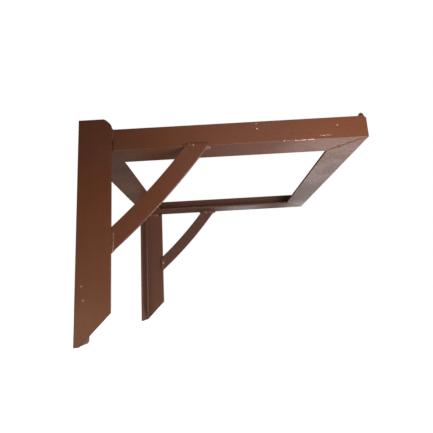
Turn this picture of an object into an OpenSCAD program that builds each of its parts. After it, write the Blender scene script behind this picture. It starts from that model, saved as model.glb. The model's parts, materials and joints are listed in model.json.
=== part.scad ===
// Welded wall shelf frame: two angle uprights, a mitred angle frame and two bowed flat braces.
// X runs along the wall, -Y points into the room and Z is up. The wall is the plane Y = 0.
// The origin is the centre of the four wall holes, on the wall.

/* [Overall size] */
// Width over the outer faces of the two uprights
shelf_width = 425; // [300:5:900]
// Distance from the wall to the front face of the frame
shelf_depth = 395; // [280:5:600]
// Length of each upright
upright_length = 297; // [250:1:500]
// Height of the uprights above the top edge of the frame
top_reach = 14; // [10:1:60]

/* [Uprights] */
// Width of both flanges of an upright
upright_flange = 45; // [36:1:60]
// Thickness of an upright
upright_thickness = 4; // [3:0.5:8]
// Bevel on the top front corner of the side flange
top_bevel = 9; // [3:1:12]
// Flat left in front of the wall flange, below the slanted cut
tail_flat = 2; // [1:0.5:10]

/* [Frame] */
// Width of the level ledge that carries the board
ledge_width = 45; // [25:1:70]
// Height of the standing edge around the board
edge_height = 31; // [20:1:60]
// Thickness of the frame angle
frame_thickness = 4; // [3:0.5:8]
// Gap between the frame and each upright
nest_gap = 0; // [0:0.1:1]

/* [Rolled angle] */
// Radius of the fillet inside each angle
root_radius = 5; // [2:0.5:7]
// Radius on the inner corner of each flange tip
toe_radius = 1.5; // [0.5:0.5:2.5]
// Extra ground off the frame's back corners so that they clear that fillet
relief_clearance = 0.5; // [0:0.1:2]

/* [Braces] */
// Width of the flat bar
brace_width = 25; // [15:1:40]
// Thickness of the flat bar
brace_thickness = 4; // [3:0.5:8]
// Radius that the bar is bowed to, measured on its centre line
brace_radius = 850; // [300:10:3000]
// Depth of the foot's centre below the frame
brace_drop = 122; // [90:1:140]
// Distance of the head's centre from the wall
brace_reach = 160; // [110:1:220]

/* [Wall holes] */
// Diameter of a wall hole
hole_diameter = 9; // [5:0.5:14]
// Distance of a hole from the free edge of the wall flange
hole_edge = 20; // [14:1:24]
// Depth of the upper hole below the frame
upper_hole_drop = 20; // [12:1:60]
// Height of the lower hole above the foot of the upright
lower_hole_rise = 32; // [12:1:60]

/* [Welds] */
// Leg of the fillets under and inside the frame
weld_leg = 7; // [3:0.5:10]
// Length of each bead that holds the frame to an upright
bead_length = 24; // [10:1:26]
// Width of the beads over the brace's joints
bead_width = 12; // [6:0.5:16]
// Width of the seams under the front mitres
seam_width = 6; // [4:0.5:9]
// Height of beads and seams above the face they lie on
bead_height = 1; // [0.5:0.1:2]
// Length of the tacks on the front edges of the side flanges
tack_length = 12; // [6:1:20]
// Radius of the lump left on top of the front left corner
lump_radius = 4.5; // [2:0.5:6]

/* [Hidden] */

$fn = 64;
fine = 1440;          // facets on the brace's large arcs
over = 1;             // how far a cutting shape runs past what it cuts
paint = "#7a4a3a";    // red-brown paint on the steel
weld_paint = "#6b4237";

// Wall holes: their pitch follows from the upright's length
hole_pitch = upright_length - top_reach - edge_height - upper_hole_drop - lower_hole_rise;
hole_x = shelf_width / 2 - upright_flange + hole_edge;

// Heights
frame_base = hole_pitch / 2 + upper_hole_drop;
ledge_top = frame_base + frame_thickness;
frame_top = frame_base + edge_height;
upright_top = frame_top + top_reach;
upright_foot = upright_top - upright_length;

// Places across the width and away from the wall
side_out = shelf_width / 2;
side_in = side_out - upright_thickness;
arm_out = side_in - nest_gap;
arm_in = arm_out - frame_thickness;
frame_back = -upright_thickness - nest_gap;
frame_front = -shelf_depth;
flange_front = -upright_flange;

// The brace straddles the joint between the side flange and the arm inside it
brace_middle = (side_in + arm_out) / 2;
brace_out = brace_middle + brace_thickness / 2;
brace_in = brace_middle - brace_thickness / 2;
brace_foot = [flange_front, frame_base - brace_drop];
brace_head = [-brace_reach, frame_base];
brace_chord = brace_head - brace_foot;
chord_length = norm(brace_chord);
brace_centre = (brace_foot + brace_head) / 2
    + sqrt(brace_radius ^ 2 - (chord_length / 2) ^ 2)
    * [brace_chord[1], -brace_chord[0]] / chord_length;
// Half the length of the brace's slanted ends, measured along the upright and along the arm
foot_half = brace_width / 2 * chord_length / -brace_chord[0];
head_half = brace_width / 2 * chord_length / brace_chord[1];

// ---- Sections ----

// Rolled angle with its outer corner at the origin and its flanges along +X and +Y
module angle_section(flange_x, flange_y, thickness) {
    difference() {
        union() {
            square([flange_x, thickness]);
            square([thickness, flange_y]);
            translate([thickness, thickness]) difference() {
                square(root_radius);
                translate([root_radius, root_radius]) circle(root_radius);
            }
        }
        translate([flange_x - toe_radius, thickness - toe_radius]) toe_cut();
        translate([thickness - toe_radius, flange_y - toe_radius]) toe_cut();
    }
}

// What the rolls take off the inner corner of a flange tip
module toe_cut() {
    difference() {
        square(toe_radius + over);
        circle(toe_radius);
    }
}

// Slightly domed fillet between the faces along +X and +Y
module fillet_section(leg) {
    intersection() {
        square(leg);
        translate([-leg / 2, -leg / 2]) circle(sqrt(2.5) * leg);
    }
}

// Cap of a round bead that stands on the X axis, centred on the origin
module cap_section(width) {
    radius = (width ^ 2 / 4 + bead_height ^ 2) / (2 * bead_height);
    intersection() {
        translate([-width / 2, 0]) square([width, bead_height]);
        translate([0, bead_height - radius]) circle(radius, $fn = 256);
    }
}

// ---- Steel ----

// The half of each pair that stands on the left, at -X
module left_side() { mirror([1, 0, 0]) children(); }

module upright() {
    color(paint) difference() {
        translate([side_out, 0, upright_foot]) rotate([0, 0, 180])
            linear_extrude(upright_length)
            angle_section(upright_flange, upright_flange, upright_thickness);
        // bevelled top corner and slanted tail, cut through the side flange
        translate([side_in - root_radius - over, flange_front, upright_top])
            flange_cut(top_bevel);
        mirror([0, 0, 1])
            translate([side_in - root_radius - over, flange_front, -upright_foot])
            flange_cut(upright_flange - upright_thickness - tail_flat);
        for (z = [-hole_pitch / 2, hole_pitch / 2])
            translate([hole_x, over, z]) rotate([90, 0, 0])
            cylinder(h = upright_thickness + 2 * over, d = hole_diameter);
    }
}

// Forty-five degree cut of the given leg on the front top corner of a side flange
module flange_cut(leg) {
    rotate([90, 0, 90]) linear_extrude(upright_thickness + root_radius + 2 * over)
        polygon([[-over, over], [-over, -leg - over], [leg + over, over]]);
}

// Plan of one side of the frame between its two mitres, on the side that faces -Y
module mitred_plan(half_length) {
    inner = half_length - ledge_width - over;
    polygon([[-half_length - over, -over], [half_length + over, -over],
             [inner, ledge_width + over], [-inner, ledge_width + over]]);
}

// Frame member along X whose outer face stands at Y = 0, centred on X = 0
module frame_member(half_length) {
    intersection() {
        translate([-half_length, 0, 0]) rotate([90, 0, 90])
            linear_extrude(2 * half_length)
            angle_section(ledge_width, edge_height, frame_thickness);
        translate([0, 0, -over]) linear_extrude(edge_height + 2 * over)
            mitred_plan(half_length);
    }
}

// Ground-off back corners of the frame
module corner_reliefs() {
    leg = root_radius + relief_clearance;
    for (side = [-1, 1]) translate([side * arm_out, frame_back, frame_base - over])
        linear_extrude(edge_height + 2 * over)
        polygon([[side * over, over], [side * over, -leg - over], [-side * (leg + over), over]]);
}

module arm() {
    depth = frame_back - frame_front;
    color(paint) difference() {
        translate([arm_out, frame_back - depth / 2, frame_base]) rotate([0, 0, 90])
            frame_member(depth / 2);
        corner_reliefs();
    }
}

module front_rail() {
    color(paint) translate([0, frame_front, frame_base]) frame_member(arm_out);
}

module rear_rail() {
    color(paint) difference() {
        translate([0, frame_back, frame_base]) rotate([0, 0, 180]) frame_member(arm_out);
        corner_reliefs();
    }
}

module brace() {
    color(paint) translate([brace_in, 0, 0]) rotate([90, 0, 90])
        linear_extrude(brace_thickness) intersection() {
            translate(brace_centre) difference() {
                circle(brace_radius + brace_width / 2, $fn = fine);
                circle(brace_radius - brace_width / 2, $fn = fine);
            }
            translate([brace_head[0] - 3 * brace_width, brace_foot[1] - 3 * brace_width])
                square([flange_front - brace_head[0] + 3 * brace_width,
                        frame_base - brace_foot[1] + 3 * brace_width]);
        }
}

// ---- Welds ----

// Fillet in the corner where two standing edges meet, from the ledge to the top edge
module corner_bead() {
    translate([frame_thickness, frame_thickness, frame_thickness])
        linear_extrude(edge_height - frame_thickness) fillet_section(weld_leg);
}

// Seam under the mitre, from the outer corner to the opening; the ledges stay flat for the board
module under_seam() {
    run = sqrt(2) * (ledge_width - frame_thickness) - seam_width / 2;
    rotate([0, 0, 45]) translate([sqrt(2) * frame_thickness, 0, 0])
        mirror([0, 0, 1]) rotate([90, 0, 90]) linear_extrude(run) cap_section(seam_width);
}

// Lump left standing on the corner's two top edges
module bead_lump() {
    translate([frame_thickness + lump_radius / 2, frame_thickness + lump_radius / 2,
               edge_height + lump_radius / 2])
        sphere(lump_radius);
}

// A corner of the frame at +X, with its two members running along +X and +Y from there
module at_front_corner() {
    translate([arm_out, frame_front, frame_base]) rotate([0, 0, 90]) children();
}

module at_rear_corner() {
    translate([arm_out, frame_back, frame_base]) rotate([0, 0, 180]) children();
}

module front_mitre_weld(with_lump) {
    color(weld_paint) {
        difference() {
            at_front_corner() {
                corner_bead();
                if (with_lump) bead_lump();
            }
            arm();
            front_rail();
        }
        at_front_corner() under_seam();
    }
}

module rear_mitre_weld() {
    color(weld_paint) difference() {
        at_rear_corner() corner_bead();
        arm();
        rear_rail();
    }
}

// Beads on the frame, against the side flange and the wall flange. The section's +X is
// away from the flange and its +Y is up.
module pair_of_beads(height) {
    clear = root_radius + relief_clearance;
    translate([side_in, frame_back - clear, height]) rotate([90, 0, 0])
        linear_extrude(bead_length) mirror([1, 0]) children();
    translate([side_in - clear - bead_length, -upright_thickness, height])
        rotate([90, 0, 90]) linear_extrude(bead_length) mirror([1, 0]) children();
}

module seat_weld() {
    color(weld_paint) pair_of_beads(frame_base) mirror([0, 1]) fillet_section(weld_leg);
}

module top_weld() {
    color(weld_paint) pair_of_beads(frame_top) fillet_section(frame_thickness);
}

// Tack between the front edge of the side flange and the outer face of the arm
module edge_weld() {
    color(weld_paint) translate([arm_out, flange_front, frame_top - tack_length])
        linear_extrude(tack_length) mirror([0, 1]) fillet_section(upright_thickness);
}

// Beads over both sides of the joint between the brace's foot and the upright
module brace_foot_weld() {
    color(weld_paint) translate([0, flange_front, brace_foot[1] - foot_half])
        linear_extrude(2 * foot_half) {
            translate([side_out, 0]) rotate(-90) cap_section(bead_width);
            translate([brace_out, -bead_width / 2])
                square([side_out - brace_out, bead_width / 2]);
            translate([brace_in, 0]) rotate(90) cap_section(bead_width);
            translate([brace_in, 0]) square([side_in - brace_in, bead_width / 2]);
        }
}

// Bead along the outside of the brace's head, and a fillet under the arm along its inside
module brace_head_weld() {
    color(weld_paint) translate([0, brace_head[0] + head_half, frame_base])
        rotate([90, 0, 0]) linear_extrude(2 * head_half) {
            translate([brace_out, 0]) rotate(-90) cap_section(bead_width);
            translate([arm_out, 0]) square([brace_out - arm_out, bead_width / 2]);
            translate([brace_in, 0]) rotate(180) fillet_section(weld_leg);
        }
}

left_side() upright();  // left_upright
upright();  // right_upright
left_side() arm();  // left_arm
arm();  // right_arm
front_rail();
rear_rail();
left_side() brace();  // left_brace
brace();  // right_brace
left_side() front_mitre_weld(true);  // front_left_mitre_weld
front_mitre_weld(false);  // front_right_mitre_weld
left_side() rear_mitre_weld();  // rear_left_mitre_weld
rear_mitre_weld();  // rear_right_mitre_weld
left_side() seat_weld();  // left_seat_weld
seat_weld();  // right_seat_weld
left_side() top_weld();  // left_top_weld
top_weld();  // right_top_weld
left_side() edge_weld();  // left_edge_weld
edge_weld();  // right_edge_weld
left_side() brace_foot_weld();  // left_brace_foot_weld
brace_foot_weld();  // right_brace_foot_weld
left_side() brace_head_weld();  // left_brace_head_weld
brace_head_weld();  // right_brace_head_weld
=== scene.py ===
import json
import math
import random

import bpy
from bpy.props import FloatProperty, FloatVectorProperty, PointerProperty
from mathutils import Matrix, Vector


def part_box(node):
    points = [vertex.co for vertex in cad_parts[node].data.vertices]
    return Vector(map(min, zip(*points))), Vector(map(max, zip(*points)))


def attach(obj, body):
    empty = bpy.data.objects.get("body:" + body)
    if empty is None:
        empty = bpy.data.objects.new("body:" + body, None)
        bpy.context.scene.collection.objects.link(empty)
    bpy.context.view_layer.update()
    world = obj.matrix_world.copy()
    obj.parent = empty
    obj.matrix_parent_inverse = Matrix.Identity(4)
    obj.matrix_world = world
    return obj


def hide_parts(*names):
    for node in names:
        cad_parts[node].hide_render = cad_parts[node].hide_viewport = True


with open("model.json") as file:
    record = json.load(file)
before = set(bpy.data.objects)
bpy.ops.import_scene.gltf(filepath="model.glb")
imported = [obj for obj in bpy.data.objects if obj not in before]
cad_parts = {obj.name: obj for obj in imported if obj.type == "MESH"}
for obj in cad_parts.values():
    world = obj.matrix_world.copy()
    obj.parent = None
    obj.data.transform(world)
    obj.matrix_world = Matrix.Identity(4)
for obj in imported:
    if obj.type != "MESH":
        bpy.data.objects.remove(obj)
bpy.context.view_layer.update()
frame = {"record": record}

bl_info = {
    "name": "Welded wall shelf frame",
    "version": (1, 0, 0),
    "blender": (4, 5, 0),
    "location": "View3D > Sidebar > Shelf",
    "description": "Builds the painted steel, the weld beads and the stage of a wall shelf frame",
    "category": "Object",
}

MM = 0.001

# ---------------------------------------------------------------- places taken from the frame

UPRIGHT_LOW, UPRIGHT_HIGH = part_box("right_upright")
ARM_LOW, ARM_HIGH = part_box("right_arm")
BRACE_LOW, BRACE_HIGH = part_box("right_brace")

SIDE_OUT = UPRIGHT_HIGH.x                 # outer face of the right upright
FOOT, TOP = UPRIGHT_LOW.z, UPRIGHT_HIGH.z
FLANGE = UPRIGHT_HIGH.x - UPRIGHT_LOW.x   # both flanges of an upright
FLANGE_FRONT = UPRIGHT_LOW.y
ARM_OUT = ARM_HIGH.x                      # outer face of the right arm
LEDGE = ARM_HIGH.x - ARM_LOW.x
BASE, EDGE_TOP = ARM_LOW.z, ARM_HIGH.z    # underside and top edge of the frame
FRONT = ARM_LOW.y
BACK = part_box("rear_rail")[1].y
UPRIGHT_WALL = SIDE_OUT - ARM_OUT         # thickness of an upright
BRACE_IN, BRACE_OUT = BRACE_LOW.x, BRACE_HIGH.x
WALL_HOLES = next(m for m in frame["record"]["mounts"] if m["name"] == "wall_bolts")["dims"]

RIGHT, LEFT = 1, -1
SIDE_NAMES = {RIGHT: "right", LEFT: "left"}
X, Y, Z = Vector((1, 0, 0)), Vector((0, 1, 0)), Vector((0, 0, 1))


# ---------------------------------------------------------------- settings

class ShelfSteel(bpy.types.PropertyGroup):
    """Sizes of the steel that its bounding boxes don't give"""

    thickness: FloatProperty(
        name="Frame thickness", description="Thickness of the frame angle",
        default=4 * MM, unit="LENGTH")
    root_radius: FloatProperty(
        name="Root radius", description="Fillet inside each rolled angle",
        default=5 * MM, unit="LENGTH")
    toe_radius: FloatProperty(
        name="Toe radius", description="Rounding on the inner corner of a flange tip",
        default=1.5 * MM, unit="LENGTH")
    arris: FloatProperty(
        name="Arris", description="Rounding that paint and handling leave on a sharp edge",
        default=0.55 * MM, unit="LENGTH")
    relief: FloatProperty(
        name="Corner relief", description="Ground-off back corners of the frame",
        default=5.5 * MM, unit="LENGTH")
    top_bevel: FloatProperty(
        name="Top bevel", description="Bevel on the top corner of an upright",
        default=9 * MM, unit="LENGTH")
    bevel_round: FloatProperty(
        name="Bevel rounding", description="Radius at the two ends of that bevel",
        default=9 * MM, unit="LENGTH")
    left_foot_round: FloatProperty(
        name="Left foot rounding", description="Rounding of the left wall flange's bottom corner",
        default=8 * MM, unit="LENGTH")
    right_foot_round: FloatProperty(
        name="Right foot rounding", description="Rounding of the right wall flange's bottom corner",
        default=2 * MM, unit="LENGTH")
    tail_flat: FloatProperty(
        name="Tail flat", description="Flat left in front of the wall flange at the foot",
        default=2 * MM, unit="LENGTH")
    corner_knock: FloatProperty(
        name="Corner knock", description="What the grinder took off the frame's front top corners",
        default=3.5 * MM, unit="LENGTH")
    brace_width: FloatProperty(
        name="Brace width", description="Width of the flat bar",
        default=25 * MM, unit="LENGTH")
    brace_radius: FloatProperty(
        name="Brace bow", description="Radius that the flat bar is bowed to",
        default=0.85, unit="LENGTH")
    brace_drop: FloatProperty(
        name="Brace drop", description="Depth of the foot's centre below the frame",
        default=122 * MM, unit="LENGTH")
    brace_reach: FloatProperty(
        name="Brace reach", description="Distance of the head's centre from the wall",
        default=160 * MM, unit="LENGTH")


class ShelfWelds(bpy.types.PropertyGroup):
    """Sizes of the weld beads"""

    leg: FloatProperty(
        name="Fillet leg", description="Leg of the fillets", default=7 * MM, unit="LENGTH")
    bead_width: FloatProperty(
        name="Bead width", description="Width of the beads over the brace joints",
        default=12 * MM, unit="LENGTH")
    seam_width: FloatProperty(
        name="Seam width", description="Width of the seams over the mitres",
        default=6 * MM, unit="LENGTH")
    height: FloatProperty(
        name="Bead height", description="Height of a bead above its face",
        default=1.1 * MM, unit="LENGTH")
    run: FloatProperty(
        name="Run length", description="Length of the beads that hold the frame to an upright",
        default=24 * MM, unit="LENGTH")
    tack: FloatProperty(
        name="Tack length", description="Length of the short tacks",
        default=12 * MM, unit="LENGTH")
    ripple: FloatProperty(
        name="Ripple pitch", description="Distance between the ripples of a bead",
        default=2.2 * MM, unit="LENGTH")
    voxel: FloatProperty(
        name="Voxel", description="Voxel size that melts the ripples together",
        default=0.45 * MM, unit="LENGTH")


class ShelfPaint(bpy.types.PropertyGroup):
    """Colours and wear of the finish, and its painted shade and painted highlights"""

    body: FloatVectorProperty(
        name="Paint", description="Red-brown of the paint", subtype="COLOR",
        default=(0.100, 0.033, 0.0125), size=3, min=0, max=1)
    # This colour also paints the braces darker as painted shade.
    dark: FloatVectorProperty(
        name="Dark paint", description="Where the paint lies thick or dirty", subtype="COLOR",
        default=(0.062, 0.022, 0.0100), size=3, min=0, max=1)
    rubbed: FloatVectorProperty(
        name="Rubbed paint", description="Where the paint has worn thin", subtype="COLOR",
        default=(0.190, 0.080, 0.048), size=3, min=0, max=1)
    # This colour also paints the highlights on the weld beads.
    bare: FloatVectorProperty(
        name="Chip", description="Primer and metal showing in a chip", subtype="COLOR",
        default=(0.55, 0.38, 0.30), size=3, min=0, max=1)
    # Colour of the painted shade in deep corners
    corner_shade_colour: FloatVectorProperty(
        name="Soot", description="Dirt that gathers in corners", subtype="COLOR",
        default=(0.022, 0.012, 0.008), size=3, min=0, max=1)
    stroke_tint: FloatProperty(
        name="Stroke tint", description="How much the brush marks show in the colour",
        default=0.05, min=0, max=1)
    blot_tint: FloatProperty(
        name="Blot tint", description="How much the dark blots show", default=0.22, min=0, max=1)
    grit_tint: FloatProperty(
        name="Grit tint", description="How much the fine grit shows", default=0.10, min=0, max=1)
    edge_tint: FloatProperty(
        name="Edge tint", description="How much paler the arrises are", default=0.08, min=0, max=1)
    worn_tint: FloatProperty(
        name="Worn tint", description="How bare the worn stretches of an arris are",
        default=0.12, min=0, max=1)
    # How pale the chips and the painted highlights on the weld beads are.
    chip_and_highlight_tint: FloatProperty(
        name="Chip tint", description="How bare the chips are", default=0.75, min=0, max=1)
    # Painted shade: the left bracket's paint gets darker towards its top at the wall
    wall_end_shade: FloatProperty(
        name="Grime", description="Darkening at the wall end of the left bracket",
        default=0.55, min=0, max=1)
    roughness: FloatProperty(
        name="Roughness", description="Roughness of the dried paint", default=0.42, min=0, max=1)


class ShelfStage(bpy.types.PropertyGroup):
    """Camera, floor and light"""

    camera_place: FloatVectorProperty(
        name="Camera", description="Place of the camera", subtype="XYZ", unit="LENGTH",
        default=(-0.6610, -0.1813, -0.0728), size=3)
    yaw: FloatProperty(
        name="Yaw", description="Turn of the camera away from +X", subtype="ANGLE",
        default=math.radians(-0.03))
    pitch: FloatProperty(
        name="Pitch", description="Upward tilt of the camera", subtype="ANGLE",
        default=math.radians(11.68))
    roll: FloatProperty(
        name="Roll", description="Roll of the camera", subtype="ANGLE",
        default=math.radians(-3.24))
    lens: FloatProperty(
        name="Lens", description="Focal length on a 36 mm wide sensor, in millimetres",
        default=29.49)
    floor_depth: FloatProperty(
        name="Floor depth", description="Distance of the floor below the origin",
        default=1.2, unit="LENGTH")
    floor_size: FloatProperty(
        name="Floor size", description="Width of the floor", default=60.0, unit="LENGTH")
    background: FloatProperty(
        name="Background", description="Strength of the white that the camera sees", default=1.0)
    surround: FloatProperty(
        name="Surround", description="Strength of the even light from all around", default=0.08)
    floor_lamp: FloatProperty(
        name="Floor lamp", description="Strength of the broad light on the floor", default=3.6)
    front_power: FloatProperty(
        name="Front softbox", description="Power of the softbox in front of the left bracket",
        default=2.3, unit="POWER")
    low_power: FloatProperty(
        name="Low softbox", description="Power of the softbox below the left bracket",
        default=2.6, unit="POWER")
    glow_power: FloatProperty(
        name="Floor glow", description="Power of the softbox below the frame",
        default=2.7, unit="POWER")
    warm_power: FloatProperty(
        name="Warm softbox", description="Power of the warm softbox by the wall",
        default=2.7, unit="POWER")
    sheen_power: FloatProperty(
        name="Sheen softboxes", description="Power of the softboxes that the undersides mirror",
        default=1.4, unit="POWER")
    overhead_power: FloatProperty(
        name="Overhead softbox", description="Power of the softbox above the frame",
        default=8.0, unit="POWER")


# ---------------------------------------------------------------- working in edit mode

def deselect_all():
    if bpy.context.object and bpy.context.object.mode != "OBJECT":
        bpy.ops.object.mode_set(mode="OBJECT")
    bpy.ops.object.select_all(action="DESELECT")


def activate(piece):
    """Selects one piece alone, so that the operators work on it."""
    deselect_all()
    piece.select_set(True)
    bpy.context.view_layer.objects.active = piece


def name_active(name):
    piece = bpy.context.object
    piece.name = piece.data.name = name
    return piece


def add_block(name, corner, opposite):
    """A block between two opposite corners, with its place in its mesh."""
    deselect_all()
    size = Vector(abs(d) for d in opposite - corner)
    bpy.ops.mesh.primitive_cube_add(size=1, location=(corner + opposite) / 2, scale=size)
    bpy.ops.object.transform_apply(location=True, rotation=True, scale=True)
    return name_active(name)


def pick(kind, test):
    """Selects the faces (by centre and normal) or edges (by their two ends) that pass the test."""
    bpy.ops.object.mode_set(mode="EDIT")
    bpy.ops.mesh.select_mode(type=kind)
    bpy.ops.mesh.select_all(action="DESELECT")
    bpy.ops.object.mode_set(mode="OBJECT")
    mesh = bpy.context.object.data
    if kind == "FACE":
        for face in mesh.polygons:
            face.select = test(face.center, face.normal)
    else:
        ends = mesh.vertices
        for edge in mesh.edges:
            edge.select = all(test(ends[v].co) for v in edge.vertices)
    bpy.ops.object.mode_set(mode="EDIT")


def cut(point, outward):
    """Saws off what lies beyond a plane and closes the cut."""
    bpy.ops.object.mode_set(mode="EDIT")
    bpy.ops.mesh.select_all(action="SELECT")
    bpy.ops.mesh.bisect(plane_co=point, plane_no=outward.normalized(),
                        use_fill=True, clear_outer=True)
    bpy.ops.mesh.select_all(action="SELECT")
    bpy.ops.mesh.remove_doubles(threshold=0.01 * MM)
    bpy.ops.mesh.select_all(action="SELECT")
    bpy.ops.mesh.delete_loose()
    bpy.ops.object.mode_set(mode="OBJECT")


def apply_all(piece):
    for modifier in list(piece.modifiers):
        bpy.ops.object.modifier_apply(modifier=modifier.name)


def mirrored(piece, name):
    """Copies a piece to the other side of the frame, with its own mesh."""
    activate(piece)
    bpy.ops.object.duplicate(linked=False)
    copy = name_active(name)
    copy.scale.x = -1
    bpy.ops.object.transform_apply(location=False, rotation=False, scale=True)
    bpy.ops.object.mode_set(mode="EDIT")
    bpy.ops.mesh.select_all(action="SELECT")
    bpy.ops.mesh.normals_make_consistent(inside=False)
    bpy.ops.object.mode_set(mode="OBJECT")
    return copy


def round_arrises(piece, width):
    """Rounds every sharp edge a little and keeps the flats flat in the shading."""
    activate(piece)
    bpy.ops.object.mode_set(mode="EDIT")
    bpy.ops.mesh.select_all(action="SELECT")
    bpy.ops.mesh.dissolve_limited(angle_limit=math.radians(0.5))
    bpy.ops.object.mode_set(mode="OBJECT")
    bevel = piece.modifiers.new("arris", "BEVEL")
    bevel.width = width
    bevel.segments = 3
    bevel.limit_method = "ANGLE"
    bevel.angle_limit = math.radians(32)
    bevel.use_clamp_overlap = True
    bpy.ops.object.shade_smooth()
    normals = piece.modifiers.new("normals", "WEIGHTED_NORMAL")
    normals.weight = 100
    apply_all(piece)


def settle(piece, node, material):
    """Gives a finished piece its material and its body, and hides the node that it stands for."""
    piece.data.materials.clear()
    piece.data.materials.append(material)
    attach(piece, "root")
    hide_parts(node)


# ---------------------------------------------------------------- steel

def angle_bar(name, corner, length, across, up, width, height, thickness, steel):
    """Rolled angle: its outer corner runs from corner along length, one flange lies along
    across and the other stands along up."""
    piece = add_block(name, corner, corner + length + across * width + up * thickness)

    def place(point):
        return (point - corner).dot(across), (point - corner).dot(up)

    def near(point, over, high):
        a, b = place(point)
        return abs(a - over) < 1e-6 and abs(b - high) < 1e-6

    bpy.ops.object.mode_set(mode="EDIT")
    bpy.ops.mesh.select_all(action="SELECT")
    bpy.ops.mesh.bisect(plane_co=corner + across * thickness, plane_no=across)
    pick("FACE", lambda centre, normal: normal.dot(up) > 0.9 and place(centre)[0] < thickness)
    bpy.ops.mesh.extrude_region_move(
        TRANSFORM_OT_translate={"value": up * (height - thickness)})
    pick("EDGE", lambda end: near(end, thickness, thickness))
    bpy.ops.mesh.bevel(offset=steel.root_radius, segments=6, profile=0.5, affect="EDGES")
    for over, high in ((width, thickness), (thickness, height)):
        pick("EDGE", lambda end: near(end, over, high))
        bpy.ops.mesh.bevel(offset=steel.toe_radius, segments=4, profile=0.5, affect="EDGES")
    bpy.ops.object.mode_set(mode="OBJECT")
    return piece


def drill(piece, centre, axis, diameter):
    """Bores a round hole through a piece."""
    deselect_all()
    turn = Z.rotation_difference(axis).to_euler()
    bpy.ops.mesh.primitive_cylinder_add(
        vertices=40, radius=diameter / 2, depth=6 * UPRIGHT_WALL, location=centre, rotation=turn)
    drill_bit = bpy.context.object
    activate(piece)
    bore = piece.modifiers.new("bore", "BOOLEAN")
    bore.object = drill_bit
    bore.solver = "MANIFOLD"
    apply_all(piece)
    bpy.data.objects.remove(drill_bit)


def grind_round(edge, normal_a, normal_b, radius):
    """Rounds the edge between two faces by grinding flats. edge is a point on it."""
    centre = edge - (normal_a + normal_b) * radius / (1 + normal_a.dot(normal_b))
    for share in (0.2, 0.4, 0.6, 0.8):
        outward = normal_a.lerp(normal_b, share).normalized()
        cut(centre + outward * radius, outward)


def make_upright(steel):
    """The right upright, with its foot's corner still square."""
    piece = angle_bar("right_upright_bar", Vector((SIDE_OUT, 0, FOOT)), Z * (TOP - FOOT), -X, -Y,
                      FLANGE, FLANGE, UPRIGHT_WALL, steel)
    slant = (Z - Y).normalized()
    bevel_low = Vector((0, FLANGE_FRONT, TOP - steel.top_bevel))
    bevel_high = Vector((0, FLANGE_FRONT + steel.top_bevel, TOP))
    cut(bevel_low, slant)
    grind_round(bevel_low, -Y, slant, steel.bevel_round)
    grind_round(bevel_high, slant, Z, steel.bevel_round)
    tail = FLANGE - UPRIGHT_WALL - steel.tail_flat
    cut(Vector((0, FLANGE_FRONT, FOOT + tail)), -Z - Y)
    for end in (-1, 1):
        centre = Vector((WALL_HOLES["spacing_x_mm"], 0, end * WALL_HOLES["spacing_y_mm"]))
        drill(piece, centre * MM / 2, Y, 2 * WALL_HOLES["hole_r_mm"] * MM)
    return piece


def grind_foot_corner(piece, side, radius):
    """Rounds the free bottom corner of the wall flange."""
    activate(piece)
    grind_round(Vector((side * (SIDE_OUT - FLANGE), 0, FOOT)), X * -side, -Z, radius)


def knock_corner(side, steel):
    """Takes the sharp point off a front top corner of the frame."""
    cut(Vector((side * ARM_OUT, FRONT, EDGE_TOP - steel.corner_knock)), X * side - Y + Z)


def relieve_corner(side, steel):
    """Grinds a back corner of the frame to clear the fillet inside the upright."""
    cut(Vector((side * ARM_OUT, BACK - steel.relief, 0)), X * side + Y)


def make_arm(steel):
    """The right arm."""
    corner = Vector((ARM_OUT, BACK, BASE))
    piece = angle_bar("right_arm_bar", corner, Y * (FRONT - BACK), -X, Z,
                      LEDGE, EDGE_TOP - BASE, steel.thickness, steel)
    cut(Vector((ARM_OUT, FRONT, BASE)), -X - Y)
    cut(corner, -X + Y)
    relieve_corner(RIGHT, steel)
    knock_corner(RIGHT, steel)
    return piece


def make_rail(name, row, inward, steel):
    """A rail along X at Y = row, with its ledge pointing inward."""
    corner = Vector((-ARM_OUT, row, BASE))
    piece = angle_bar(name + "_bar", corner, X * 2 * ARM_OUT, inward, Z,
                      LEDGE, EDGE_TOP - BASE, steel.thickness, steel)
    for side in (LEFT, RIGHT):
        cut(Vector((side * ARM_OUT, row, BASE)), X * side + inward)
        if row == FRONT:
            knock_corner(side, steel)
        else:
            relieve_corner(side, steel)
    return piece


def brace_ends(steel):
    """Middle of the brace's foot and head, as (y, z)."""
    foot = Vector((FLANGE_FRONT, BASE - steel.brace_drop))
    head = Vector((-steel.brace_reach, BASE))
    return foot, head


def brace_centre(steel):
    """Centre of the arc that the brace is bowed to, as (y, z)."""
    foot, head = brace_ends(steel)
    chord = head - foot
    normal = Vector((chord.y, -chord.x)).normalized()
    rise = math.sqrt(steel.brace_radius ** 2 - (chord.length / 2) ** 2)
    return (foot + head) / 2 + normal * rise


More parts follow.
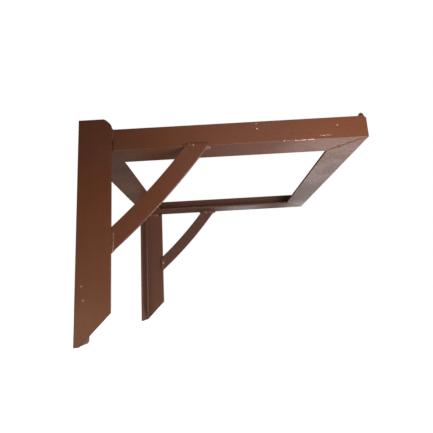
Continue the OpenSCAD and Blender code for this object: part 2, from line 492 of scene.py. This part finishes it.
def make_brace(steel):
    """The right brace."""
    foot, head = brace_ends(steel)
    centre = brace_centre(steel)
    spare = 2 * steel.brace_width / steel.brace_radius
    start, end = (math.atan2(p.y - centre.y, p.x - centre.x) for p in (foot, head))
    turn = end - start
    first = start - math.copysign(spare, turn)
    middle = centre + Vector((math.cos(first), math.sin(first))) * steel.brace_radius
    deselect_all()
    bpy.ops.mesh.primitive_plane_add(
        size=1, location=((BRACE_IN + BRACE_OUT) / 2, middle.x, middle.y),
        rotation=(first, 0, 0))
    piece = name_active("right_brace_bar")
    piece.scale = (BRACE_OUT - BRACE_IN, steel.brace_width, 1)
    bpy.ops.object.transform_apply(location=True, rotation=True, scale=True)
    bpy.ops.object.mode_set(mode="EDIT")
    bpy.ops.mesh.select_all(action="SELECT")
    bpy.ops.mesh.spin(steps=40, angle=-turn - math.copysign(2 * spare, turn),
                      center=(0, centre.x, centre.y), axis=(1, 0, 0))
    bpy.ops.mesh.select_all(action="SELECT")
    bpy.ops.mesh.remove_doubles(threshold=0.01 * MM)
    bpy.ops.mesh.normals_make_consistent(inside=False)
    bpy.ops.object.mode_set(mode="OBJECT")
    cut(Vector((0, FLANGE_FRONT, 0)), Y)
    cut(Vector((0, 0, BASE)), Z)
    return piece


# ---------------------------------------------------------------- weld beads

LEAN = 0.12           # how far each drop leans along its bead
END_SWELL = 0.72      # width of the first and the last drop, as a share of the full width
SWELL_RATE = 2.2      # how quickly a bead grows to its full width

# how much the drops differ: in width and depth as shares, in length as ripple pitches
WIDTHS, LENGTHS, DEPTHS = (0.88, 1.08), (1.5, 2.3), (0.8, 1.1)

# a fillet as shares of its leg: how far it is shifted out of the corner, and its half width
# and height about there
FILLET_RISE, FILLET_HALF_WIDTH, FILLET_HEIGHT = 0.33, 0.84, 0.43

# how often a bead's skin is softened: a plain bead, the washed-out one over a brace's foot and
# the one over its head
PLAIN_SOFTENING, FOOT_SOFTENING, HEAD_SOFTENING = 9, 42, 24

# the two beads over a brace's foot as shares of the bead width and height, and how much
# shorter than the joint they are
OUTER_FOOT, INNER_FOOT, FOOT_SPARE = (0.3, 0.8), (0.4, 0.6), 9 * MM

# the lump on the front left corner: height and girth of each drop in millimetres
LUMP = ((0.0, 4.3), (1.8, 3.9), (3.4, 3.0))


def add_ripple(place, along, wide, proud, radii):
    """One drop of weld metal, flattened against the steel."""
    frame_of_drop = Matrix((wide, along, proud)).transposed().to_3x3()
    bpy.ops.mesh.primitive_uv_sphere_add(
        segments=16, ring_count=8, radius=1, location=place,
        rotation=frame_of_drop.to_euler(), scale=radii)


def lay_bead(start, end, wide, proud, half_width, height, welds, dice, wander=0.1, sunk=0.45):
    """Drops laid one over the next from start to end. wide points across the bead and proud
    away from the steel. Each drop strays sideways by up to wander times half_width. The drops
    are sunk by a share of their depth, so that they meet the steel at a low angle and still
    stand as high and as wide as asked."""
    run = end - start
    along = run.normalized()
    deep = height / (1 - sunk)
    broad = half_width / math.sqrt(1 - sunk ** 2)
    lean = (along + proud * LEAN).normalized()
    upright = lean.cross(wide) if lean.cross(wide).dot(proud) > 0 else wide.cross(lean)
    count = max(3, round(run.length / welds.ripple))
    for i in range(count + 1):
        share = i / count
        swell = min(1.0, END_SWELL + SWELL_RATE * min(share, 1 - share))
        swell *= dice.uniform(*WIDTHS)
        drift = wide * half_width * wander * dice.uniform(-1, 1)
        radii = (broad * swell, welds.ripple * dice.uniform(*LENGTHS),
                 deep * swell * dice.uniform(*DEPTHS))
        add_ripple(start + run * share + drift - proud * deep * sunk, lean, wide, upright, radii)


def lay_fillet(start, end, away, up, leg, welds, dice):
    """A fillet bead in the corner between two faces, whose normals are away and up."""
    wide = (away - up).normalized()
    proud = (away + up).normalized()
    rise = proud * FILLET_RISE * leg
    lay_bead(start + rise, end + rise, wide, proud, FILLET_HALF_WIDTH * leg,
             FILLET_HEIGHT * leg, welds, dice, wander=0.06, sunk=0)


def start_weld():
    """Begins a weld piece as an empty mesh in edit mode; beads are then laid into it."""
    deselect_all()
    bpy.ops.mesh.primitive_plane_add(size=MM)
    bpy.ops.object.mode_set(mode="EDIT")
    bpy.ops.mesh.select_all(action="SELECT")
    bpy.ops.mesh.delete(type="VERT")


def end_weld(name, welds, softening=PLAIN_SOFTENING):
    """Melts the drops of a weld piece into one skin and softens it that many times."""
    bpy.ops.object.mode_set(mode="OBJECT")
    piece = name_active(name)
    melt = piece.modifiers.new("melt", "REMESH")
    melt.mode = "VOXEL"
    melt.voxel_size = welds.voxel
    soften = piece.modifiers.new("soften", "SMOOTH")
    soften.iterations = softening
    soften.factor = 0.5
    apply_all(piece)
    bpy.ops.object.shade_smooth()
    return piece


def foot_half(steel):
    """Half the height of the brace's slanted foot."""
    foot, head = brace_ends(steel)
    chord = head - foot
    return steel.brace_width / 2 * chord.length / -chord.x


def head_half(steel):
    """Half the length of the brace's slanted head."""
    foot, head = brace_ends(steel)
    chord = head - foot
    return steel.brace_width / 2 * chord.length / chord.y


def make_seat_or_top_weld(side, level, up, leg, kind, welds, steel, seed):
    """Two fillets at one level, along the side flange and along the wall flange. Both start
    clear of the root of the upright."""
    dice = random.Random(seed)
    start_weld()
    clear = steel.root_radius
    from_corner = Vector((side * ARM_OUT, BACK - clear, level))
    lay_fillet(from_corner, from_corner - Y * welds.run, X * -side, up, leg, welds, dice)
    from_wall = Vector((side * (ARM_OUT - clear), BACK, level))
    lay_fillet(from_wall, from_wall - X * side * welds.run, -Y, up, leg, welds, dice)
    return end_weld(f"{SIDE_NAMES[side]}_{kind}_bead", welds)


def make_edge_weld(side, welds, seed):
    """The tack between the arm's outer face and the front edge of the side flange."""
    dice = random.Random(seed)
    start_weld()
    low = Vector((side * ARM_OUT, FLANGE_FRONT, EDGE_TOP - welds.tack))
    lay_fillet(low, low + Z * (welds.tack - 2 * MM), X * side, -Y, 0.55 * UPRIGHT_WALL,
               welds, dice)
    return end_weld(SIDE_NAMES[side] + "_edge_bead", welds)


def make_foot_weld(side, welds, steel, seed):
    """The outer bead lies in the step down to the brace and the inner one over the joint. Both
    stop short of the ends of the joint."""
    dice = random.Random(seed)
    start_weld()
    half = foot_half(steel)
    foot = brace_ends(steel)[0]
    run = Z * (2 * half - FOOT_SPARE)
    width, height = OUTER_FOOT
    low = Vector((side * BRACE_OUT, FLANGE_FRONT - 0.3 * MM, foot.y - half + 5 * MM))
    lay_bead(low, low + run, Y, X * side, width * welds.bead_width, height * welds.height,
             welds, dice, wander=0.04)
    width, height = INNER_FOOT
    inner = Vector((side * BRACE_IN, FLANGE_FRONT + 1.5 * MM, foot.y - half + 3 * MM))
    lay_bead(inner, inner + run, Y, X * -side, width * welds.bead_width, height * welds.height,
             welds, dice, wander=0.2)
    return end_weld(SIDE_NAMES[side] + "_brace_foot_bead", welds, softening=FOOT_SOFTENING)


def make_head_weld(side, welds, steel, seed):
    """The outer bead washes from the brace's face up over the arm's lower edge, and a fillet
    fills the corner on the inner side."""
    dice = random.Random(seed)
    start_weld()
    half = head_half(steel)
    head = brace_ends(steel)[1]
    step = BRACE_OUT - ARM_OUT
    back = Vector((side * ARM_OUT, head.x + half - 1 * MM, BASE + 0.5 * MM))
    lay_bead(back, back - Y * (2 * half - 2 * MM), Z, X * side, 0.45 * welds.bead_width, step,
             welds, dice, wander=0.25)
    inner = Vector((side * BRACE_IN, head.x + 0.8 * half, BASE))
    lay_fillet(inner, inner - Y * 1.2 * half, X * -side, -Z, welds.leg, welds, dice)
    return end_weld(SIDE_NAMES[side] + "_brace_head_bead", welds, softening=HEAD_SOFTENING)


def make_mitre_weld(side, row, inward, name, welds, steel, seed, lump=False):
    """The beads of one mitred corner: inward points from the corner's row into the frame. A
    front corner has a seam under its mitre, and a lump can stand on the corner's top."""
    dice = random.Random(seed)
    start_weld()
    corner = Vector((side * ARM_OUT, row, BASE))
    diagonal = X * -side + inward
    wall = steel.thickness
    upright = corner + diagonal * wall + Z * wall
    lay_fillet(upright, upright + Z * (EDGE_TOP - BASE - wall - 1.5 * MM), X * -side, inward,
               welds.leg, welds, dice)
    if row == FRONT:
        across = Z.cross(diagonal).normalized()
        outer = corner + diagonal * wall
        inner = corner + diagonal * (LEDGE - 2 * MM)
        lay_bead(outer, inner, across, -Z, welds.seam_width / 2, 0.7 * MM, welds, dice)
    if lump:
        crest = corner + diagonal * (wall + 1.2 * MM) + Z * (EDGE_TOP - BASE)
        for lift, girth in LUMP:
            shift = diagonal * dice.uniform(-0.3, 0.3) * MM
            add_ripple(crest + Z * lift * MM + shift, inward, X * side, Z,
                       (girth * MM, girth * 1.05 * MM, 3.4 * MM))
    return end_weld(name, welds)


# ---------------------------------------------------------------- operators

class SHELF_OT_uprights(bpy.types.Operator):
    """Builds the two angle uprights"""

    bl_idname = "shelf.uprights"
    bl_label = "Uprights"

    def execute(self, context):
        steel = context.scene.shelf_steel
        right = make_upright(steel)
        left = mirrored(right, "left_upright_bar")
        grind_foot_corner(right, RIGHT, steel.right_foot_round)
        grind_foot_corner(left, LEFT, steel.left_foot_round)
        for piece, node in ((right, "right_upright"), (left, "left_upright")):
            round_arrises(piece, steel.arris)
            settle(piece, node, paint("Z"))
        return {"FINISHED"}


class SHELF_OT_arms(bpy.types.Operator):
    """Builds the two side members of the frame"""

    bl_idname = "shelf.arms"
    bl_label = "Arms"

    def execute(self, context):
        steel = context.scene.shelf_steel
        right = make_arm(steel)
        left = mirrored(right, "left_arm_bar")
        for piece, node in ((right, "right_arm"), (left, "left_arm")):
            round_arrises(piece, steel.arris)
            settle(piece, node, paint("Y"))
        return {"FINISHED"}


class SHELF_OT_rails(bpy.types.Operator):
    """Builds the front and rear rails of the frame"""

    bl_idname = "shelf.rails"
    bl_label = "Rails"

    def execute(self, context):
        steel = context.scene.shelf_steel
        for node, row, inward in (("front_rail", FRONT, Y), ("rear_rail", BACK, -Y)):
            piece = make_rail(node, row, inward, steel)
            round_arrises(piece, steel.arris)
            settle(piece, node, paint("X"))
        return {"FINISHED"}


class SHELF_OT_braces(bpy.types.Operator):
    """Builds the two bowed flat braces"""

    bl_idname = "shelf.braces"
    bl_label = "Braces"

    def execute(self, context):
        steel = context.scene.shelf_steel
        right = make_brace(steel)
        left = mirrored(right, "left_brace_bar")
        for piece, node in ((right, "right_brace"), (left, "left_brace")):
            round_arrises(piece, steel.arris)
            settle(piece, node, paint("BRACE"))
        return {"FINISHED"}


class SHELF_OT_mitre_welds(bpy.types.Operator):
    """Lays the welds of the frame's four mitred corners"""

    bl_idname = "shelf.mitre_welds"
    bl_label = "Mitre welds"

    def execute(self, context):
        scene = context.scene
        for end, row, inward in (("front", FRONT, Y), ("rear", BACK, -Y)):
            for side in (LEFT, RIGHT):
                node = f"{end}_{SIDE_NAMES[side]}_mitre_weld"
                piece = make_mitre_weld(
                    side, row, inward, node.replace("_weld", "_bead"), scene.shelf_welds,
                    scene.shelf_steel, seed=node, lump=(end == "front" and side == LEFT))
                settle(piece, node, paint("WELD"))
        return {"FINISHED"}


class SHELF_OT_frame_welds(bpy.types.Operator):
    """Lays the welds that hold the frame to the uprights"""

    bl_idname = "shelf.frame_welds"
    bl_label = "Frame welds"

    def execute(self, context):
        welds, steel = context.scene.shelf_welds, context.scene.shelf_steel
        for side in (LEFT, RIGHT):
            name = SIDE_NAMES[side]
            seat = make_seat_or_top_weld(side, BASE, -Z, welds.leg, "seat", welds, steel,
                                         seed=name + "seat")
            settle(seat, name + "_seat_weld", paint("WELD"))
            top = make_seat_or_top_weld(side, EDGE_TOP, Z, steel.thickness, "top", welds, steel,
                                        seed=name + "top")
            settle(top, name + "_top_weld", paint("WELD"))
            edge = make_edge_weld(side, welds, seed=name + "edge")
            settle(edge, name + "_edge_weld", paint("WELD"))
        return {"FINISHED"}


class SHELF_OT_brace_welds(bpy.types.Operator):
    """Lays the welds at the feet and heads of the braces"""

    bl_idname = "shelf.brace_welds"
    bl_label = "Brace welds"

    def execute(self, context):
        welds, steel = context.scene.shelf_welds, context.scene.shelf_steel
        for side in (LEFT, RIGHT):
            name = SIDE_NAMES[side]
            foot = make_foot_weld(side, welds, steel, seed=name + "foot")
            settle(foot, name + "_brace_foot_weld", paint("WELD"))
            head = make_head_weld(side, welds, steel, seed=name + "head")
            settle(head, name + "_brace_head_weld", paint("WELD"))
        return {"FINISHED"}


# ---------------------------------------------------------------- paint

RAGGED = 3 * MM       # how far the outline of a chip or painted highlight strays


class PaintTree:
    """Adds nodes to a material and wires them."""

    def __init__(self, material):
        self.nodes = material.node_tree.nodes
        self.links = material.node_tree.links
        self.shader = self.nodes["Principled BSDF"]
        self.place = self.nodes.new("ShaderNodeTexCoord").outputs["Object"]

    def add(self, kind, inputs, **settings):
        node = self.nodes.new("ShaderNode" + kind)
        for key, value in settings.items():
            setattr(node, key, value)
        for key, value in inputs.items():
            if isinstance(value, bpy.types.NodeSocket):
                self.links.new(value, node.inputs[key])
            else:
                node.inputs[key].default_value = value
        return node

    def stretch(self, scale):
        """Object coordinates, finer across the grain than along it."""
        return self.add("Mapping", {"Vector": self.place, "Scale": scale}).outputs["Vector"]

    def span(self, value, low, high, start=0.0, end=1.0):
        """Maps low..high to start..end and clamps."""
        return self.add("MapRange", {"Value": value, "From Min": low, "From Max": high,
                                     "To Min": start, "To Max": end},
                        interpolation_type="SMOOTHSTEP").outputs["Result"]

    def noise(self, place, scale, low, high, detail=3.0, warp=0.0):
        noise = self.add("TexNoise", {"Vector": place, "Scale": scale, "Detail": detail,
                                      "Distortion": warp})
        return self.span(noise.outputs["Fac"], low, high)

    def math(self, operation, a, b=0.0):
        return self.add("Math", {0: a, 1: b}, operation=operation).outputs["Value"]

    def blend(self, factor, a, b, how="MIX"):
        """Mixes two colours, each a socket or an RGB triple."""
        node = self.add("Mix", {"Factor": factor}, data_type="RGBA", blend_type=how)
        for socket, value in ((node.inputs["A"], a), (node.inputs["B"], b)):
            self.colour(socket, value)
        return node.outputs["Result"]

    def colour(self, socket, value):
        socket = next(s for s in socket.node.inputs
                      if s.name == socket.name and s.type == "RGBA")
        if isinstance(value, bpy.types.NodeSocket):
            self.links.new(value, socket)
        else:
            socket.default_value = (*value, 1)

    def spots(self, chips):
        """A mask with a ragged spot for each (middle, half axes)."""
        ragged = self.add("TexNoise", {"Vector": self.place, "Scale": 420.0}).outputs["Color"]
        moved = self.add("VectorMath", {0: ragged, 1: (RAGGED,) * 3, 2: self.place},
                         operation="MULTIPLY_ADD").outputs["Vector"]
        mask = None
        for middle, axes in chips:
            middle = tuple(middle + (X + Y + Z) * RAGGED / 2)
            offset = self.add("VectorMath", {0: moved, 1: middle}, operation="SUBTRACT")
            share = self.add("VectorMath", {0: offset.outputs["Vector"], 1: tuple(axes)},
                             operation="DIVIDE").outputs["Vector"]
            far = self.add("VectorMath", {0: share}, operation="LENGTH").outputs["Value"]
            spot = self.span(far, 1.05, 0.55)
            mask = spot if mask is None else self.math("MAXIMUM", mask, spot)
        return mask

    def bump(self, height, distance, below=None):
        inputs = {"Height": height, "Distance": distance, "Strength": 1.0}
        if below is not None:
            inputs["Normal"] = below
        return self.add("Bump", inputs).outputs["Normal"]


def chip(x, y, z, length=2.2, height=2.2):
    """A place where the paint has come off a face at x, or where a highlight is painted on a bead:
    its middle and its half axes. All but x is given in millimetres."""
    return Vector((x, y * MM, z * MM)), Vector((3, length, height)) * MM / 2


# chips in the paint, and painted highlights on the brace and seat weld beads
CHIPS_AND_HIGHLIGHTS = (
    chip(-SIDE_OUT, -8.3, -59), chip(-SIDE_OUT, -10.8, -77),                  # left upright
    chip(-ARM_OUT, -243, 148, 3.0, 1.6), chip(-ARM_OUT, -244, 140),           # left arm
    chip(-ARM_OUT, -354, 139), chip(-ARM_OUT, -279.5, 120.4), chip(-ARM_OUT, -317.7, 120.4),
    chip(-ARM_OUT, -336, 125, 20, 0.8), chip(-ARM_OUT, -308, 119.6, 60, 1.2),
    # painted highlight on the left brace's head bead
    chip(-BRACE_OUT, -156, 121),                                              # left brace's head
    # painted highlights on the right brace's head bead
    chip(BRACE_IN, -154, 117, 4, 3), chip(BRACE_IN, -166, 117, 4, 3),         # right brace's head
    # painted highlight on the right brace's foot bead
    chip(BRACE_IN - 0.7 * MM, -46.5, -1.3, 4, 4),                             # right brace's foot
    # painted highlights on the right seat bead
    chip(ARM_OUT - 1.5 * MM, -16.6, 113, 5, 4), chip(ARM_OUT - 1.5 * MM, -30.9, 113, 5, 4))

# how the brush marks are stretched for each grain
GRAINS = {"X": (1.0, 26.0, 26.0), "Y": (26.0, 1.0, 26.0), "Z": (26.0, 26.0, 1.0),
          "BRACE": (26.0, 3.0, 3.0), "WELD": (3.0, 3.0, 3.0)}

# the patterns in the paint: a noise's scale, the stretch of its values that counts, and the rest
CLOUDS = dict(scale=7.0, low=0.35, high=0.68, detail=4.0, warp=0.4)
BLOTS = dict(scale=46.0, low=0.50, high=0.74, detail=5.0, warp=0.8)
STROKES = dict(scale=14.0, low=0.30, high=0.74, detail=4.0)
GRIT = dict(scale=1100.0, low=0.52, high=0.80, detail=2.0)
PEEL = dict(scale=420.0, low=0.25, high=0.75, detail=2.0)
PATCHES = dict(scale=85.0, low=0.46, high=0.62, detail=5.0)

TONE_AND_BRACE_SHADE = {"BRACE": (0.3, 0.6)}         # how thick and so dark the coat lies at least and at most; on the braces the extra darkness is painted shade
WEAR = {"WELD": 0.2, "BRACE": 0.6}    # how much of the wear on arrises shows, if not all
CORNER_SHADE = {"WELD": 0.4}                  # how dark the painted shade in a deep corner is
ROUND_ARRIS = 1.1 * MM                # radius that the wear takes an arris to have
ARRIS_SPAN = (0.985, 0.84)            # cosines at which the wear starts and is full
# painted shade at the wall end of the left bracket, multiplied in with this tint
WALL_END_SHADE_TINT = (0.45, 0.42, 0.34)
WALL_END_SHADE_SPAN = (0.20, 0.04)             # distances at which the painted shade ends and is full
CORNER_REACH = 9 * MM                 # how far around a point the painted corner shade looks for steel
CORNER_SPAN = (0.80, 0.35)            # openness at which the painted corner shade starts and is full
STROKE_DEPTH = 0.012 * MM             # relief of the brush marks
PEEL_DEPTH = {"WELD": 0.06 * MM}      # relief of the dimpled skin of the paint


def paint(grain):
    """The paint for steel or weld of one grain, made once per grain."""
    name = "red_brown_paint_" + grain.lower()
    if name in bpy.data.materials:
        return bpy.data.materials[name]
    look = bpy.context.scene.shelf_paint
    material = bpy.data.materials.new(name)
    material.use_nodes = True
    tree = PaintTree(material)

    clouds = tree.noise(tree.place, **CLOUDS)
    blots = tree.noise(tree.place, **BLOTS)
    strokes = tree.noise(tree.stretch(GRAINS[grain]), **STROKES)
    grit = tree.noise(tree.place, **GRIT)
    peel = tree.noise(tree.place, **PEEL)

    # the coat, which lies thicker and darker in clouds, and is darker still on the braces as
    # painted shade
    thick = tree.span(clouds, 0, 1, *TONE_AND_BRACE_SHADE.get(grain, (0.0, 0.4)))
    coat = tree.blend(thick, look.body, look.dark)
    coat = tree.blend(tree.math("MULTIPLY", strokes, look.stroke_tint), coat, look.rubbed)
    coat = tree.blend(tree.math("MULTIPLY", blots, look.blot_tint), coat, look.dark)
    coat = tree.blend(tree.math("MULTIPLY", grit, look.grit_tint), coat, look.rubbed)

    # wear on the arrises, which show where the rounded normal leaves the flat one
    edge_normal = tree.add("Bevel", {"Radius": ROUND_ARRIS}, samples=6).outputs["Normal"]
    flat_normal = tree.add("NewGeometry", {}).outputs["True Normal"]
    along = tree.add("VectorMath", {0: edge_normal, 1: flat_normal},
                     operation="DOT_PRODUCT").outputs["Value"]
    edge = tree.span(along, *ARRIS_SPAN)
    worn = tree.math("MULTIPLY", edge, tree.noise(tree.place, **PATCHES))
    wear = WEAR.get(grain, 1.0)
    coat = tree.blend(tree.math("MULTIPLY", edge, look.edge_tint * wear), coat, look.rubbed)
    coat = tree.blend(tree.math("MULTIPLY", worn, look.worn_tint * wear), coat, look.bare)
    # chips, and painted highlights on the weld beads
    coat = tree.blend(tree.math("MULTIPLY", tree.spots(CHIPS_AND_HIGHLIGHTS), look.chip_and_highlight_tint), coat, look.bare)

    # painted shade around the top of the left bracket at the wall, and painted shade in every
    # corner
    corner = tree.add("VectorMath", {0: tree.place, 1: (-SIDE_OUT, BACK, TOP)},
                      operation="DISTANCE").outputs["Value"]
    reach = tree.math("ADD", corner, tree.math("MULTIPLY", clouds, 0.04))
    coat = tree.blend(tree.span(reach, *WALL_END_SHADE_SPAN, 0.0, look.wall_end_shade), coat, WALL_END_SHADE_TINT,
                      how="MULTIPLY")
    # painted shade: darker where the steel closes in around a point
    open_air = tree.add("AmbientOcclusion", {"Distance": CORNER_REACH}, samples=8).outputs["AO"]
    corner_shade = tree.span(open_air, *CORNER_SPAN, 0.0, CORNER_SHADE.get(grain, 0.75))
    coat = tree.blend(corner_shade, coat, look.corner_shade_colour)

    tree.colour(tree.shader.inputs["Base Color"], coat)
    tree.links.new(tree.span(tree.math("ADD", clouds, peel), 0.0, 2.0,
                             look.roughness - 0.07, look.roughness + 0.12),
                   tree.shader.inputs["Roughness"])
    # less reflection where the corner shade is painted
    tree.links.new(tree.span(corner_shade, 0.0, 0.5, 0.4, 0.1),
                   tree.shader.inputs["Specular IOR Level"])
    relief = tree.bump(strokes, STROKE_DEPTH)
    relief = tree.bump(peel, PEEL_DEPTH.get(grain, 0.02 * MM), below=relief)
    tree.links.new(relief, tree.shader.inputs["Normal"])
    return material


# ---------------------------------------------------------------- stage

# the softboxes: name, place, target, width, power setting and share of it, spread in degrees
# and tint
SOFTBOXES = (
    ("front_softbox", (-0.55, -0.45, -0.10), (-0.2, -0.3, 0.1),
     0.3, "front_power", 1, 120, (1.0, 0.97, 1.06)),
    ("low_softbox", (-0.60, -0.70, -0.60), (-0.2, -0.2, -0.1),
     0.4, "low_power", 1, 180, (1.0, 0.86, 0.68)),
    ("floor_glow", (-0.10, -0.50, -0.60), (0.2, -0.1, 0.0),
     0.4, "glow_power", 1, 180, (0.85, 1.15, 1.5)),
    ("warm_softbox", (-0.90, 0.30, -0.30), (0.2, -0.1, 0.0),
     0.4, "warm_power", 1, 180, (1.0, 0.62, 0.44)),
    ("sheen_softbox", (0.85, -0.72, -0.14), (0, -0.35, 0.1),
     0.45, "sheen_power", 1, 180, (1.0, 1.0, 1.0)),
    ("far_sheen_softbox", (0.80, -0.28, 0.0), (0, -0.28, 0.1),
     0.2, "sheen_power", 0.15, 180, (1.0, 1.0, 1.0)),
    ("wall_sheen_softbox", (0.80, 0.24, -0.22), (0, -0.03, 0.1),
     0.3, "sheen_power", 0.08, 180, (1.0, 1.0, 0.9)),
    ("overhead", (0.10, -0.20, 1.60), (0.1, -0.2, 0.0),
     0.8, "overhead_power", 1, 180, (1.0, 1.0, 1.0)))


class SHELF_OT_stage(bpy.types.Operator):
    """Sets up the camera, the pale floor and the soft light"""

    bl_idname = "shelf.stage"
    bl_label = "Stage"

    def execute(self, context):
        scene, stage = context.scene, context.scene.shelf_stage
        scene.view_settings.view_transform = "Standard"
        self.place_camera(scene, stage)
        self.lay_floor(stage)
        self.surround(scene, stage)
        self.hang_softboxes(stage)
        return {"FINISHED"}

    def place_camera(self, scene, stage):
        """Looks along +X, turned by the yaw, tilted by the pitch and rolled."""
        deselect_all()
        bpy.ops.object.camera_add(location=stage.camera_place)
        camera = bpy.context.object
        camera.name = "shelf_camera"
        camera.data.lens = stage.lens
        camera.data.sensor_width = 36
        camera.data.clip_start = 0.01
        forward = Vector((math.cos(stage.pitch) * math.cos(stage.yaw),
                          math.cos(stage.pitch) * math.sin(stage.yaw), math.sin(stage.pitch)))
        level = forward.cross(Z).normalized()
        above = level.cross(forward)
        right = level * math.cos(stage.roll) + above * math.sin(stage.roll)
        upward = above * math.cos(stage.roll) - level * math.sin(stage.roll)
        camera.rotation_euler = Matrix((right, upward, -forward)).transposed().to_euler()
        scene.camera = camera

    def lay_floor(self, stage):
        """A pale floor with a lamp of its own, which casts no light back on the frame."""
        deselect_all()
        bpy.ops.mesh.primitive_plane_add(size=stage.floor_size,
                                         location=(0, 0, -stage.floor_depth))
        floor = name_active("floor")
        material = bpy.data.materials.new("pale_floor")
        material.use_nodes = True
        tree = PaintTree(material)
        tree.shader.inputs["Base Color"].default_value = (0.92, 0.92, 0.92, 1)
        tree.shader.inputs["Roughness"].default_value = 1.0
        tree.shader.inputs["Specular IOR Level"].default_value = 0.0
        floor.data.materials.append(material)
        floor.visible_diffuse = floor.visible_glossy = False
        lit_alone = bpy.data.collections.new("lit_by_floor_lamp")
        lit_alone.objects.link(floor)
        deselect_all()
        bpy.ops.object.light_add(type="SUN", rotation=(math.radians(6), 0, 0))
        lamp = bpy.context.object
        lamp.name = "floor_lamp"
        lamp.data.energy = stage.floor_lamp
        lamp.data.angle = math.radians(60)
        lamp.light_linking.receiver_collection = lit_alone

    def surround(self, scene, stage):
        """White for the camera, and a dim even light for everything else."""
        world = bpy.data.worlds.new("white_surround")
        world.use_nodes = True
        nodes, links = world.node_tree.nodes, world.node_tree.links
        shade = nodes["Background"]
        shade.inputs["Color"].default_value = (1, 1, 1, 1)
        shade.inputs["Strength"].default_value = stage.surround
        bright = nodes.new("ShaderNodeBackground")
        bright.inputs["Color"].default_value = (1, 1, 1, 1)
        bright.inputs["Strength"].default_value = stage.background
        choose = nodes.new("ShaderNodeMixShader")
        links.new(nodes.new("ShaderNodeLightPath").outputs["Is Camera Ray"], choose.inputs[0])
        links.new(shade.outputs[0], choose.inputs[1])
        links.new(bright.outputs[0], choose.inputs[2])
        links.new(choose.outputs[0], nodes["World Output"].inputs["Surface"])
        scene.world = world

    def hang_softboxes(self, stage):
        """Hangs each softbox where it is listed, facing its target."""
        for name, place, target, width, power, share, spread, tint in SOFTBOXES:
            deselect_all()
            bpy.ops.object.light_add(type="AREA", location=place)
            softbox = bpy.context.object
            softbox.name = name
            softbox.data.size = width
            softbox.data.energy = share * getattr(stage, power)
            softbox.data.spread = math.radians(spread)
            softbox.data.color = tint
            away = Vector(place) - Vector(target)
            softbox.rotation_euler = away.to_track_quat("Z", "Y").to_euler()
            softbox.visible_camera = False


class SHELF_PT_panel(bpy.types.Panel):
    """Lists the shelf's settings and steps"""

    bl_idname = "SHELF_PT_panel"
    bl_label = "Wall shelf frame"
    bl_space_type = "VIEW_3D"
    bl_region_type = "UI"
    bl_category = "Shelf"

    def draw(self, context):
        layout = self.layout
        for group in (context.scene.shelf_steel, context.scene.shelf_welds,
                      context.scene.shelf_paint, context.scene.shelf_stage):
            box = layout.box()
            for key in group.__annotations__:
                box.prop(group, key)
        for step in STEPS:
            layout.operator(step.bl_idname)


GROUPS = {"shelf_steel": ShelfSteel, "shelf_welds": ShelfWelds,
          "shelf_paint": ShelfPaint, "shelf_stage": ShelfStage}
STEPS = (SHELF_OT_stage, SHELF_OT_uprights, SHELF_OT_arms, SHELF_OT_rails, SHELF_OT_braces,
         SHELF_OT_mitre_welds, SHELF_OT_frame_welds, SHELF_OT_brace_welds)


def register():
    for name, group in GROUPS.items():
        bpy.utils.register_class(group)
        setattr(bpy.types.Scene, name, PointerProperty(type=group))
    for step in STEPS:
        bpy.utils.register_class(step)
    bpy.utils.register_class(SHELF_PT_panel)


def unregister():
    bpy.utils.unregister_class(SHELF_PT_panel)
    for step in reversed(STEPS):
        bpy.utils.unregister_class(step)
    for name, group in reversed(GROUPS.items()):
        delattr(bpy.types.Scene, name)
        bpy.utils.unregister_class(group)


def main():
    register()
    for step in STEPS:
        group, name = step.bl_idname.split(".")
        getattr(getattr(bpy.ops, group), name)()


if __name__ == "__main__":
    main()
